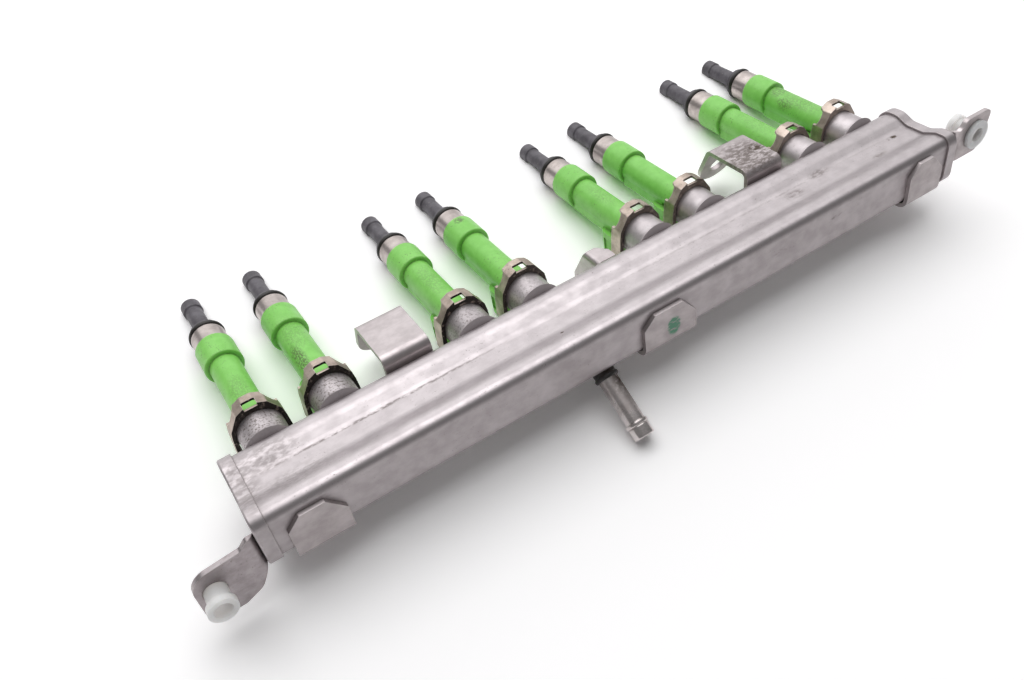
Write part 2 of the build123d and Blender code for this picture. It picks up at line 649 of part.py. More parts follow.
def make_centre_bracket():
    """Centre plate, which also carries an angle lug behind the rail."""
    under = RAIL_BOTTOM_Z - TAB_GAP - TAB_SHEET
    near = RAIL_INNER_Y + TAB_GAP
    far = RAIL_INNER_Y + LUG_REACH
    nose = RAIL_INNER_Y + LUG_NOSE_REACH
    left = CENTRE_TAB_X + LUG_OFFSET
    right = left + LUG_WIDTH
    plate = make_tab_plate(CENTRE_TAB_X, CENTRE_TAB_WIDTH, CENTRE_TAB_TOP_Z, TAB_BEND)
    floor = box(left, right, RAIL_INNER_Y - 2 * TAB_BACK, far, under, under + TAB_SHEET)
    fold = strip_face([(left, under), (left, LUG_TOP_Z), (right, LUG_TOP_Z)], TAB_SHEET, LUG_BEND)
    lug = across_injector(fold, far, far - near)
    lug &= across_rail(sharp_face([
        (near, under),
        (far, under),
        (far, LUG_NOSE_Z),
        (nose, LUG_TOP_Z),
        (near, LUG_TOP_Z),
    ]), (left + right) / 2, LUG_WIDTH)
    roof_corner = sharp_face([
        (left + LUG_NOSE_WIDTH, nose + OVERSHOOT),
        (right + OVERSHOOT, nose + OVERSHOOT),
        (right + OVERSHOOT, nose - LUG_NOSE_WIDTH),
        (right, nose - LUG_NOSE_WIDTH),
    ])
    lug -= extrude(Plane.XY.offset(LUG_TOP_Z - 2 * TAB_SHEET) * roof_corner, 3 * TAB_SHEET)
    return plate + floor + lug


def make_ear(outline, hole_x, hole_z, flange_end_z):
    """Angle bracket on an end cap: ear across the bolt's axis, flange on the cap's face.

    The outline is its (X, Z) shape, and the flange's top slopes down to flange_end_z.
    """
    side = 1 if hole_x > 0 else -1
    front = EAR_FRONT_Y
    far = front + EAR_FLANGE_DEPTH
    tip_x = max(side * corner[0] for corner in outline)
    low_z = min(corner[1] for corner in outline)
    high_z = max(corner[1] for corner in outline)
    path = [(tip_x, front), (CAP_FACE_X, front), (CAP_FACE_X, far)]
    angle = strip_face([(side * x, y) for x, y in path], side * BRACKET_SHEET, EAR_BEND)
    blank = extrude(Plane.XY.offset(low_z) * angle, high_z - low_z)
    ear = blank & across_injector(rounded_face(outline), far, EAR_FLANGE_DEPTH)
    behind = front + BRACKET_SHEET
    root_z = max(corner[1] for corner in outline if side * corner[0] < CAP_FACE_X + BRACKET_SHEET)
    slope = sharp_face([
        (behind, root_z),
        (far, flange_end_z),
        (far + OVERSHOOT, flange_end_z),
        (far + OVERSHOOT, high_z + OVERSHOOT),
        (behind, high_z + OVERSHOOT),
    ])
    ear -= across_rail(slope, side * CAP_FACE_X, 6 * BRACKET_SHEET)
    return ear - cylinder_y(BUSH_RADIUS + BUSH_EAR_GAP, front - OVERSHOOT, behind + OVERSHOOT, hole_x, hole_z)


def make_left_ear():
    """Left ear, which reaches down and out from the lower half of the cap."""
    x = LEFT_HOLE_X
    z = LEFT_HOLE_Z
    root_x = -CAP_FACE_X + BRACKET_SHEET
    outline = [
        (x - LEFT_EAR_TIP_OUT, z - LEFT_EAR_FOOT_DOWN, LEFT_EAR_TIP_ROUND),
        (x - LEFT_EAR_CROWN_OUT, z + LEFT_EAR_CROWN_UP, LEFT_EAR_CROWN_ROUND),
        (x + LEFT_EAR_STEP_IN, z + LEFT_EAR_STEP_UP, EAR_CORNER_ROUND),
        (x + LEFT_EAR_ROOT_IN, z + LEFT_EAR_ROOT_UP, EAR_CORNER_ROUND),
        (root_x, z + LEFT_EAR_ROOT_UP, 0),
        (root_x, z - LEFT_EAR_NECK_DOWN, 0),
        (x + LEFT_EAR_NECK_IN, z - LEFT_EAR_NECK_DOWN, EAR_NECK_ROUND),
        (x + LEFT_EAR_HEEL_IN, z - LEFT_EAR_HEEL_DOWN, LEFT_EAR_HEEL_ROUND),
        (x + LEFT_EAR_FOOT_IN, z - LEFT_EAR_FOOT_DOWN, EAR_CORNER_ROUND),
    ]
    return make_ear(outline, x, z, LEFT_FLANGE_END_Z)


def make_right_ear():
    """Right ear, which reaches up and out from the upper half of the cap."""
    x = RIGHT_HOLE_X
    z = RIGHT_HOLE_Z
    root_x = CAP_FACE_X - BRACKET_SHEET
    outline = [
        (x + RIGHT_EAR_TIP_OUT, z + RIGHT_EAR_TIP_UP, RIGHT_EAR_TIP_ROUND),
        (x + RIGHT_EAR_WAIST_OUT, z - RIGHT_EAR_WAIST_DOWN, EAR_NECK_ROUND),
        (x + RIGHT_EAR_FOOT_OUT, z - RIGHT_EAR_FOOT_DOWN, RIGHT_EAR_FOOT_ROUND),
        (root_x, z - RIGHT_EAR_FOOT_DOWN, 0),
        (root_x, z + RIGHT_EAR_SLOPE_UP, 0),
        (x - RIGHT_EAR_SLOPE_IN, z + RIGHT_EAR_SLOPE_UP, EAR_NECK_ROUND),
        (x - RIGHT_EAR_CROWN_IN, z + RIGHT_EAR_TIP_UP, EAR_NECK_ROUND),
    ]
    return make_ear(outline, x, z, RIGHT_FLANGE_END_Z)


def make_bush(x, z, side):
    """Plastic sleeve for a bolt: wide flange against the ear, sleeve through it, flange at its end.

    The sleeve points towards -Y when side is -1, and towards +Y when it is 1.
    """
    face = EAR_FRONT_Y + BRACKET_SHEET if side < 0 else EAR_FRONT_Y
    profile = [
        (BUSH_BORE_RADIUS, -BUSH_WIDE_FLANGE),
        (BUSH_WIDE_RADIUS, -BUSH_WIDE_FLANGE),
        (BUSH_WIDE_RADIUS, 0),
        (BUSH_RADIUS, 0),
        (BUSH_RADIUS, BUSH_LENGTH - BUSH_WIDE_FLANGE - BUSH_END_FLANGE),
        (BUSH_END_RADIUS, BUSH_LENGTH - BUSH_WIDE_FLANGE - BUSH_END_FLANGE),
        (BUSH_END_RADIUS, BUSH_LENGTH - BUSH_WIDE_FLANGE),
        (BUSH_BORE_RADIUS, BUSH_LENGTH - BUSH_WIDE_FLANGE),
    ]
    return Pos(x, face, z) * turned([(radius, side * y) for radius, y in profile])


def make_terminals():
    """Two blades in each connector."""
    half_width = TERMINAL_WIDTH / 2
    half_sheet = TERMINAL_SHEET / 2
    blade = box(
        -half_width, half_width, PLUG_MID_Y - half_sheet, PLUG_MID_Y + half_sheet,
        CAVITY_ROOF_Z - TERMINAL_LENGTH, CAVITY_ROOF_Z,
    )
    places = [x + side * TERMINAL_SPACING / 2 for x in INJECTOR_X for side in (-1, 1)]
    return Compound(children=[Pos(x, 0, 0) * blade for x in places])


def at_each_injector(piece):
    """One node with a copy of the piece at every injector."""
    return Compound(children=[Pos(x, 0, 0) * piece for x in INJECTOR_X])


def save(shape, node):
    """Write one named node."""
    export_step(shape, f"parts/{node}.step")


def save_rail():
    """Tube, caps and fuel inlet."""
    cap = make_end_cap()
    save(make_rail_tube(), "rail_tube")
    save(cap, "end_cap_right")
    save(mirror(cap, Plane.YZ), "end_cap_left")
    save(make_inlet_pipe(), "inlet_pipe")
    save(make_pipe_socket(), "pipe_socket")


def save_injectors():
    """Cups, injectors and clips, one set at every place of the row."""
    pieces = {
        "injector_cup": make_cup(),
        "injector_core": make_core(),
        "injector_body": make_body(),
        "nozzle_tip": make_tip(),
        "injector_clip": make_clip(),
    }
    for name, piece in pieces.items():
        for number, x in enumerate(INJECTOR_X, 1):
            save(Pos(x, 0, 0) * piece, f"{name}_{number}")
    lower_y = CORE_LENGTH + CORE_NECK_LENGTH / 2
    upper_y = INLET_END_Y + UPPER_RING_DEPTH
    upper_wire = (CUP_BORE_RADIUS - INLET_RADIUS) / 2 - RING_GAP
    save(at_each_injector(make_ring(LOWER_RING_RADIUS, LOWER_RING_WIRE, lower_y)), "lower_o_rings")
    save(at_each_injector(make_ring(CUP_BORE_RADIUS - RING_GAP, upper_wire, upper_y)), "upper_o_rings")
    save(at_each_injector(make_filter()), "inlet_filters")
    save(make_terminals(), "terminals")


def save_brackets():
    """Hooks, plates, ears and bushes."""
    hook = make_hook_bracket()
    left_tab_x = LEFT_TAB_INSET - RAIL_HALF_LENGTH
    right_tab_x = RAIL_HALF_LENGTH - RIGHT_TAB_INSET
    save(Pos(-CYLINDER_PITCH, 0, 0) * hook, "hook_bracket_left")
    save(Pos(CYLINDER_PITCH + HOOK_SHIFT, 0, 0) * hook, "hook_bracket_right")
    save(make_tab_plate(left_tab_x, LEFT_TAB_WIDTH, LEFT_TAB_TOP_Z, LEFT_TAB_BEND), "tab_plate_left")
    save(make_tab_plate(right_tab_x, RIGHT_TAB_WIDTH, RIGHT_TAB_TOP_Z, TAB_BEND), "tab_plate_right")
    save(make_centre_bracket(), "centre_bracket")
    save(make_left_ear(), "ear_bracket_left")
    save(make_right_ear(), "ear_bracket_right")
    save(make_bush(LEFT_HOLE_X, LEFT_HOLE_Z, -1), "bolt_bush_left")
    save(make_bush(RIGHT_HOLE_X, RIGHT_HOLE_Z, 1), "bolt_bush_right")


os.makedirs("parts", exist_ok=True)
save_rail()
save_injectors()
save_brackets()
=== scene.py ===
# %% [markdown]
# # A fuel rail with its eight injectors
# The part is a fuel rail of a four-cylinder petrol engine: a stamped steel tube, eight green
# injectors clipped into cups, and brackets. Used and a little dirty, it lies on a white table.
# The shapes could be modelled here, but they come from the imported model, where their sizes are
# exact. This script gives every surface its finish, and then sets the table, light and camera.

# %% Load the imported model
from fnmatch import fnmatch
from math import acos, degrees
import bpy
from mathutils import Matrix, Vector

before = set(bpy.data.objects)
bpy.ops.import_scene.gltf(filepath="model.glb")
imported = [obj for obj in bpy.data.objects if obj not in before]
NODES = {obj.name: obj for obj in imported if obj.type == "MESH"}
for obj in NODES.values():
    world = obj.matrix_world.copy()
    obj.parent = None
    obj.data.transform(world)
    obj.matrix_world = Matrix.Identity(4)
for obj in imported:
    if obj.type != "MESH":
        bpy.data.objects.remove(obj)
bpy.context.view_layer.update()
MM = 0.001

# %% [markdown]
# ## Tools for the finishes
# Each finish is a network of shader nodes. They could be drawn by hand in the editor, but a script
# keeps every size and colour readable. One function adds a node with its settings and links, and
# everything else is built from it. Colours are given as hex text, so they are turned into the linear
# values that the renderer works in.

# %% Colours, nodes and materials
def linear(hex_colour):
    """Linear RGBA of an sRGB hex colour."""
    channels = [int(hex_colour[i:i + 2], 16) / 255 for i in (1, 3, 5)]
    return [c / 12.92 if c <= 0.04045 else ((c + 0.055) / 1.055) ** 2.4 for c in channels] + [1.0]


def add(tree, kind, inputs, **settings):
    """Add a shader node. An input takes a value, a hex colour, a node or an output of one."""
    node = tree.nodes.new("ShaderNode" + kind)
    for name, value in settings.items():
        setattr(node, name, value)
    for name, value in inputs.items():
        if isinstance(value, bpy.types.Node):
            value = value.outputs[0]
        if isinstance(value, bpy.types.NodeSocket):
            tree.links.new(value, node.inputs[name])
        else:
            node.inputs[name].default_value = linear(value) if isinstance(value, str) else value
    return node


def new_material(name):
    """An empty material, its node tree, and the surface point in metres."""
    material = bpy.data.materials.new(name)
    material.use_nodes = True
    tree = material.node_tree
    tree.nodes.clear()
    return material, tree, add(tree, "TexCoord", {}).outputs["Object"]


def dress(material, *names):
    """Put a material on nodes. A name that ends in a star stands for all that start so."""
    chosen = [node for node in NODES for name in names if fnmatch(node, name)]
    for node in chosen:
        mesh = NODES[node].data
        mesh.materials.clear()
        mesh.materials.append(material)
    print(f"{material.name}: {len(chosen)} nodes")


print("white is", linear("#FFFFFF"), "and middle grey", round(linear("#808080")[0], 3))

# %% [markdown]
# ## Traces of use
# Dirt and wear could be painted on by hand, but they follow causes, so each cause has a mask that
# works on any piece. Oil and road dust gather in cloudy patches. In the crevices where two pieces
# meet, grime and painted shade darken the surface. Handling polishes the sheared edges. Each mask
# runs from 0 to 1 and can be mixed with the others in any finish.

# %% Masks
# share of open sky over a surface that counts as open, and as shut in
OPEN, SHUT = 0.85, 0.35
# cosine of an edge's turn where wear starts, and where it is full
WEAR_STARTS, WEAR_FULL = 0.985, 0.86
# rays that feel for other surfaces, and for a rounded edge
SKY_SAMPLES, EDGE_SAMPLES = 8, 6


def patches(tree, point, size, low, high, stretch=(1, 1, 1), detail=4.0):
    """Cloudy patches about size mm across: 0 where the noise is below low, 1 above high."""
    scale = [1 / (size * MM * s) for s in stretch]
    scaled = add(tree, "Mapping", {"Vector": point, "Scale": scale})
    clouds = add(tree, "TexNoise", {"Vector": scaled, "Scale": 1.0, "Detail": detail, "Roughness": 0.6})
    return add(tree, "MapRange", {"Value": clouds, "From Min": low, "From Max": high},
               interpolation_type="SMOOTHSTEP")


def shut_in_shade(tree, reach):
    """Painted shade: places that other surfaces within reach mm shut in."""
    sky = add(tree, "AmbientOcclusion", {"Distance": reach * MM}, samples=SKY_SAMPLES)
    return add(tree, "MapRange", {"Value": sky.outputs["AO"], "From Min": OPEN, "From Max": SHUT},
               interpolation_type="SMOOTHSTEP")


def worn_edges(tree, rounding):
    """Edges rubbed bright, where a normal rounded by so many mm turns away from the true one."""
    rounded = add(tree, "Bevel", {"Radius": rounding * MM}, samples=EDGE_SAMPLES)
    flat = add(tree, "NewGeometry", {}).outputs["True Normal"]
    turn = add(tree, "VectorMath", {0: rounded, 1: flat}, operation="DOT_PRODUCT").outputs["Value"]
    return add(tree, "MapRange", {"Value": turn, "From Min": WEAR_STARTS, "From Max": WEAR_FULL})


def strongest(tree, masks):
    """The strongest of several masks at each point."""
    total = masks[0]
    for mask in masks[1:]:
        total = add(tree, "Math", {0: total, 1: mask}, operation="MAXIMUM")
    return total


def soil_and_shade(tree, point, soil_shade_share, extra, reach, smears, clusters, specks):
    """Grime and painted shade where pieces meet, and specks in clusters, times their share, then the
    extra masks.

    Smears, clusters and specks are settings for patches."""
    crevice_grime_and_shade = add(tree, "Math", {0: shut_in_shade(tree, reach), 1: patches(tree, point, **smears)},
                 operation="MULTIPLY")
    specked = add(tree, "Math", {0: patches(tree, point, **clusters), 1: patches(tree, point, **specks)},
                  operation="MULTIPLY")
    general = add(tree, "Math", {0: strongest(tree, [crevice_grime_and_shade, specked]), 1: soil_shade_share},
                  operation="MULTIPLY", use_clamp=True)
    return strongest(tree, [general] + [mask(tree, point) for mask in extra])


print("edges start to look worn where they turn", round(degrees(acos(WEAR_STARTS))), "degrees")

# %% [markdown]
# ## Soft edges and grain
# The model's edges are sharp, but pressed and moulded edges never are. Rounding them in the mesh
# would cost many faces, so a Bevel node bends the light there instead. On top of it goes the grain
# that keeps a big flat face from looking like a mirror or like paper.

# %% Surface of an edge and a face
GRAIN_STRENGTH = 0.3
# mm; the real grain of both is finer than a pixel, so it is drawn as coarse as it needs to show
STEEL_GRAIN, STEEL_DEPTH = 0.5, 0.02
MOULD_GRAIN, MOULD_DEPTH = 0.8, 0.04


def grained(tree, point, size, depth, rounding):
    """A normal rounded by so many mm at edges, with a grain of this size and depth in mm."""
    rounded = add(tree, "Bevel", {"Radius": rounding * MM}, samples=EDGE_SAMPLES)
    grain = patches(tree, point, size, 0.0, 1.0)
    return add(tree, "Bump", {
        "Height": grain, "Strength": GRAIN_STRENGTH, "Distance": depth * MM, "Normal": rounded,
    })


print("grain in mm: steel", STEEL_GRAIN, "and mouldings", MOULD_GRAIN)

# %% [markdown]
# ## Steel
# All the metal is sheet, bar or tube, so one function makes it: rolled sheet with faint streaks, a
# cloudy oxide tone, grime and painted shade in the crevices, specks, and bright sheared edges. Metal
# is a conductor, so clean places are fully metallic, and where grime and painted shade cover them they
# aren't. The roughness decides the look most: furnace brazing leaves a satin skin that blurs the room
# to a soft sheen.

# %% Steel finish
# mm; real rolling marks are finer than a pixel, so they are drawn coarser
ROLLING_MARK = 0.45
OXIDE_CLOUD = 5.0
SHEARED_EDGE = 0.35

# what the dull and the clean tone of a finish add to its roughness
DULL_ADDS, CLEAN_ADDS = 0.06, -0.04
CLOUD_SHARE = 0.85
WEAR_SHARE = 0.6
RUBBED_STEEL = "#E9E2E0"
# metallic and roughness where grime and painted shade cover the steel
COVERED_METALLIC = 0.15
COVERED_ROUGHNESS = 0.75
# the reach of painted shade into crevices, and the patches of grime and specks
STEEL_SOIL_AND_SHADE = {
    # mm, and the noise values between which each fades in
    "reach": 0.9,
    "smears": {"size": 1.4, "low": 0.32, "high": 0.55},
    "clusters": {"size": 16.0, "low": 0.40, "high": 0.60},
    "specks": {"size": 0.7, "low": 0.62, "high": 0.72, "detail": 3.0},
}


def steel(name, clean, dull, roughness, soil_shade_share, streak=(30, 1, 1), soil_shade_colour="#54473D",
          rounding=SHEARED_EDGE, extra=()):
    """Steel from two tones; a share sets its soiling with painted shade in crevices and its specks, and
    extra adds masks of stains and painted shade.
    """
    material, tree, point = new_material(name)
    streaks = patches(tree, point, ROLLING_MARK, 0.25, 0.75, streak, detail=2.0)
    clouds = patches(tree, point, OXIDE_CLOUD, 0.30, 0.70, (1.3, 1, 1), detail=8.0)
    tone = add(tree, "Mix", {0: CLOUD_SHARE, 2: streaks, 3: clouds})
    # a Mix node's colours are its inputs 6 and 7 and its output 2
    skin = add(tree, "Mix", {0: tone, 6: dull, 7: clean}, data_type="RGBA").outputs[2]
    wear = add(tree, "Math", {0: worn_edges(tree, SHEARED_EDGE), 1: WEAR_SHARE}, operation="MULTIPLY")
    skin = add(tree, "Mix", {0: wear, 6: skin, 7: RUBBED_STEEL}, data_type="RGBA").outputs[2]

    # grime, specks and stains, and painted shade in crevices and on some faces
    covered = soil_and_shade(tree, point, soil_shade_share, extra, **STEEL_SOIL_AND_SHADE)
    metal = add(tree, "MapRange", {"Value": covered, "To Min": 1.0, "To Max": COVERED_METALLIC})
    satin = add(tree, "MapRange", {
        "Value": tone, "To Min": roughness + DULL_ADDS, "To Max": roughness + CLEAN_ADDS,
    })
    shader = add(tree, "BsdfPrincipled", {
        "Base Color": add(tree, "Mix", {0: covered, 6: skin, 7: soil_shade_colour}, data_type="RGBA").outputs[2],
        "Metallic": metal,
        "Roughness": add(tree, "Mix", {0: covered, 2: satin, 3: COVERED_ROUGHNESS}),
        "Normal": grained(tree, point, STEEL_GRAIN, STEEL_DEPTH, rounding),
    })
    add(tree, "OutputMaterial", {"Surface": shader})
    return material


print("steel: rolling marks", ROLLING_MARK, "mm wide, oxide clouds", OXIDE_CLOUD, "mm")

# %% [markdown]
# ## Stains on the rail
# Rust dots follow the crease beside the inner ridge, most of them at the left end, where the skin is
# mottled. A few rubs and drips show elsewhere. They could be painted as a picture and wrapped round
# the rail. Here each stain is a soft ball with a place, a reach and a strength, so it needs no
# unwrapping, and a learner can move it. A strength above 1 gives a harder rim.

# %% Stains
def spot(tree, point, place, reach, strength, grain=1.1, stretch=(2, 1, 1)):
    """One stain that reaches so far on each axis, all in mm, and breaks up into its grain."""
    offset = add(tree, "VectorMath", {0: point, 1: [p * MM for p in place]}, operation="SUBTRACT")
    shares = add(tree, "VectorMath", {0: offset, 1: [r * MM for r in reach]}, operation="DIVIDE")
    distance = add(tree, "VectorMath", {0: shares}, operation="LENGTH").outputs["Value"]
    disc = add(tree, "MapRange", {
        "Value": distance, "From Min": 1.0, "From Max": 0.3, "To Max": strength,
    }, interpolation_type="SMOOTHSTEP")
    broken = patches(tree, point, grain, 0.36, 0.60, stretch)
    return add(tree, "Math", {0: disc, 1: broken}, operation="MULTIPLY")


def stain(place, reach, strength, **grain):
    """The mask of one spot, ready to be handed to a finish."""
    return lambda tree, point: spot(tree, point, place, reach, strength, **grain)


RAIL_STAINS = [
    # place in mm, reach on each axis in mm, strength
    ((-105, -78.8, 6.3), (70, 0.9, 3.0), 0.50),
    ((60, -78.8, 6.3), (110, 0.7, 3.0), 0.20),
    ((-143, -74.0, 7.5), (17, 9.0, 5.0), 0.26),
    ((-138, -88.0, 7.0), (20, 7.0, 5.0), 0.24),
    ((-137, -99.3, 2.0), (15, 2.0, 5.0), 0.26),
    ((-155, -82.0, 5.0), (9, 22.0, 14.0), 0.30),
    ((141.8, -80.1, 6.3), (4.0, 1.3, 2.0), 1.6),
    ((128.5, -85.6, 6.5), (5.0, 2.0, 3.0), 0.45),
    ((101.0, -78.3, 6.3), (8.0, 2.6, 3.0), 0.45),
    ((84.4, -82.2, 6.3), (7.0, 3.2, 3.0), 0.45),
    ((90.2, -99.3, 1.2), (6.0, 2.0, 1.6), 0.50),
    ((63.3, -99.3, -1.0), (12.0, 2.0, 3.0), 0.35),
    ((-34.2, -88.6, 6.8), (0.9, 0.7, 1.0), 2.0),
]
print(len(RAIL_STAINS), "stains, reaching up to", max(row[1][0] for row in RAIL_STAINS), "mm")

# %% [markdown]
# ## Rail tube and end caps
# The tube is pressed from sheet, folded, and brazed in a furnace together with its caps and cups, so
# they share one even, slightly warm grey. Painted shade, a dull darker layer, takes the shine off the
# front. It could be one more stain, but it lies on all that faces forward, so its mask asks where a
# surface looks.

# %% Furnace-brazed rail
def facing_front(tree, start, full):
    """Faces that look towards the front, -Y: 0 where the normal's Y is start, and 1 where it is full."""
    normal = add(tree, "NewGeometry", {}).outputs["Normal"]
    forward = add(tree, "SeparateXYZ", {0: normal}).outputs["Y"]
    return add(tree, "MapRange", {"Value": forward, "From Min": start, "From Max": full})


def front_shade(tree, point):
    """Painted shade on the front: a thin, dull, darker layer on faces that look forward."""
    clouds = patches(tree, point, 8.0, 0.2, 0.8)
    shade_depth = add(tree, "MapRange", {"Value": clouds, "To Min": 0.13, "To Max": 0.22})
    return add(tree, "Math", {0: facing_front(tree, -0.80, -0.97), 1: shade_depth}, operation="MULTIPLY")


# Sheet steel out of a brazing furnace: a pale, even satin that shows the lamps as broad soft bands,
# with painted shade on its front
rail_steel = steel("furnace_brazed_sheet_steel", "#C2BBBD", "#B4ADAF", 0.42, 0.60,
                   extra=[front_shade] + [stain(*row) for row in RAIL_STAINS])
dress(rail_steel, "rail_tube", "end_cap_*")

# %% [markdown]
# ## Injector cups
# The cups are deep-drawn, with no rolling streaks and a duller skin. Braze drew up round each foot:
# a wide rounding in the shading stands for that fillet. The foot is painted pale, as light that lifts
# the dark ring where the cup meets the rail. It could be mixed into the steel's colour, but the pale
# coat isn't metal, so it gets a shader of its own that covers the finished one where a mask says.

# %% Deep-drawn cups
def ramp(tree, place, axis, start, end, low=0.0, high=1.0):
    """From low at start to high at end, both in mm on one axis of a place."""
    along = add(tree, "SeparateXYZ", {0: place}).outputs[axis]
    return add(tree, "MapRange", {
        "Value": along, "From Min": start * MM, "From Max": end * MM, "To Min": low, "To Max": high,
    })


def cover(material, mask, colour, roughness):
    """Lay a second skin that isn't metal over a finished material, where its mask says."""
    tree = material.node_tree
    point = add(tree, "TexCoord", {}).outputs["Object"]
    output = next(node for node in tree.nodes if node.bl_idname == "ShaderNodeOutputMaterial")
    below = output.inputs["Surface"].links[0].from_socket
    skin = add(tree, "BsdfPrincipled", {"Base Color": colour, "Roughness": roughness})
    both = add(tree, "MixShader", {0: mask(tree, point), 1: below, 2: skin})
    tree.links.new(both.outputs[0], output.inputs["Surface"])


def lit_foot(tree, point):
    """The foot of each cup, painted pale as light that lifts the dark ring there."""
    return ramp(tree, point, "Y", -63.2, -64.0, high=0.85)


def left_freckles(tree, point):
    """Dark freckles on the cups of the left half."""
    left = ramp(tree, point, "X", 40, -110, high=0.8)
    freckles = patches(tree, point, 0.8, 0.48, 0.66, detail=6.0)
    return add(tree, "Math", {0: left, 1: freckles}, operation="MULTIPLY")


# Deep-drawn steel: matt and grey, with a wide soft highlight round the cup
cup_steel = steel("deep_drawn_steel", "#CBC4C6", "#B9B2B4", 0.48, 0.35, (1, 1, 1), rounding=2.2,
                  extra=[left_freckles])
# a pale matt coat over each foot: painted light that lifts the dark ring there
cover(cup_steel, lit_foot, "#CDC6C8", 0.6)
dress(cup_steel, "injector_cup_*")

# %% [markdown]
# ## Spring clips
# The clips are bent from spring strip and hardened, which leaves them browner. Black painted shade
# lies on the faces that look back at the rail, heaviest on the clips of the left half. Painting eight
# clips by hand would take long, so the mask follows the direction of the surface and fades along the
# rail.

# %% Hardened clips
def shaded_back(tree, point):
    """Black painted shade on faces towards the rail, thinner to the right."""
    left = ramp(tree, point, "X", 90, -60, low=0.25)
    share = add(tree, "Math", {0: facing_front(tree, -0.35, -0.80), 1: left}, operation="MULTIPLY")
    return add(tree, "Math", {0: share, 1: patches(tree, point, 2.0, 0.25, 0.45)}, operation="MULTIPLY")


# Hardened spring steel: warm brown from its heat treatment, and painted black and dull as shade on
# the faces towards the rail
clip_steel = steel("hardened_spring_steel", "#CBBCB1", "#9C8E84", 0.42, 0.8, (1, 1, 1), "#2E2723",
                   extra=[shaded_back])
dress(clip_steel, "injector_clip_*")

# %% [markdown]
# ## Brackets
# Hooks, plates and ears are blanked from strip and brazed to the rail, so they share its skin and
# the painted shade on their front. The right hook has dark blotches on its web, and the left ear is
# painted darker, as shade on its forward face. The middle plate carries a dab of green paint. A
# picture of the dab would need unwrapping, so the plate takes a copy of the steel, with a second skin
# over one spot.

# %% Brackets
HOOK_BLOTCHES = [
    # place in mm, reach on each axis in mm, strength
    ((91.0, -52.0, 11.6), (5.0, 6.0, 2.0), 1.0),
    ((80.0, -57.5, 11.6), (5.0, 4.0, 2.0), 0.7),
    ((85.0, -55.0, 11.6), (20.0, 18.0, 6.0), 0.7),
]
PAINT_DAB = ((6.2, -101.2, -5.4), (3.6, 2.5, 5.0), 4.0)

# Brazed strip: like the rail, with less grime and painted shade in its corners, and painted shade on its
# front
bracket_steel = steel("brazed_strip_steel", "#C6BEBF", "#B1A9AA", 0.42, 0.2,
                      extra=[front_shade] + [stain(*row) for row in HOOK_BLOTCHES])
dress(bracket_steel, "hook_bracket_*", "tab_plate_*", "ear_bracket_right")

# Strip steel painted darker than the other brackets, as shade on the ear's forward face, and a little
# glossier
shaded_ear_metal = steel("shaded_strip_steel", "#AFA7A9", "#958D8E", 0.40, 0.5)
dress(shaded_ear_metal, "ear_bracket_left")

# Marking paint, brushed: a blue-green with an even, soft gloss that ends in a ragged rim
dabbed_steel = bracket_steel.copy()
dabbed_steel.name = "brazed_strip_steel_with_paint"
cover(dabbed_steel, stain(*PAINT_DAB), "#4F9070", 0.4)
dress(dabbed_steel, "centre_bracket")

# %% [markdown]
# ## Valve housings and inlet pipe
# The injectors' steel housings are turned, so their fine marks run round them and they are a
# little smoother than the rail. The pipe is drawn tube. Fuel varnish and soot baked onto it next to
# its socket, and the clean metal shows again towards its end. Stains could be strung along it, but
# one mask does it all: it fades with the distance along the pipe's own direction.

# %% Turned and drawn metal
PIPE_ROOT = (-22.5, -97.4, -18.0)
PIPE_DIRECTION = (0.0, -0.844, -0.536)
# mm along the pipe up to which the soot is full, and where it ends
SOOT_FULL, SOOT_ENDS = 3, 19


def baked_varnish(tree, point):
    """Soot that fades along the pipe, heavier on its right side."""
    offset = add(tree, "VectorMath", {0: point, 1: [p * MM for p in PIPE_ROOT]}, operation="SUBTRACT")
    along = add(tree, "VectorMath", {0: offset, 1: PIPE_DIRECTION}, operation="DOT_PRODUCT")
    near = add(tree, "MapRange", {
        "Value": along.outputs["Value"], "From Min": SOOT_ENDS * MM, "From Max": SOOT_FULL * MM,
    })
    right = ramp(tree, offset, "X", -3, 2.5, low=0.25)
    share = add(tree, "Math", {0: near, 1: right}, operation="MULTIPLY")
    broken = patches(tree, point, 1.6, 0.15, 0.55)
    return add(tree, "Math", {0: share, 1: broken}, operation="MULTIPLY")


# Turned stainless steel: a clear, slightly warm shine in lines round the housing
housing_steel = steel("turned_stainless_steel", "#D2C8C4", "#A89E9A", 0.32, 0.5, (1, 0.2, 1))
dress(housing_steel, "injector_core_*")

# Drawn tube: the smoothest steel here, so its highlight is one narrow bright line
pipe_steel = steel("drawn_steel_tube", "#E6DFDE", "#C9C0BE", 0.20, 0.2, (1, 1, 1), "#3A2C24",
                   extra=[baked_varnish])
dress(pipe_steel, "inlet_pipe")

# Tinned brass: a pale yellowish shine, deep in the sockets
blade_tin = steel("tinned_brass", "#CFC9BB", "#B5AE9F", 0.30, 0.2)
dress(blade_tin, "terminals")

# %% [markdown]
# ## Plastic and rubber
# Plastic isn't a metal: its colour sits under a clear, colourless gloss, and its IOR sets how strong
# that gloss is. Flat colour with one gloss would look like a toy, so two tones drift into each other,
# and the gloss drifts with them. Grime and painted shade come from the same masks as on the steel,
# but the shade reaches further out of the corners.

# %% Plastic and rubber finish
TONE_DRIFT = 5.0
MOULDED_EDGE = 0.3
LIGHT_PATH = 8.0
# red light goes a little deeper than green, and green deeper than blue
PATH_BY_COLOUR = (1.0, 0.95, 0.9)
# the reach of painted shade into crevices, and the patches of grime and specks
MOULD_SOIL_AND_SHADE = {
    # mm, and the noise values between which each fades in
    "reach": 2.5,
    "smears": {"size": 1.2, "low": 0.30, "high": 0.60},
    "clusters": {"size": 12.0, "low": 0.45, "high": 0.62},
    "specks": {"size": 0.8, "low": 0.58, "high": 0.70},
}


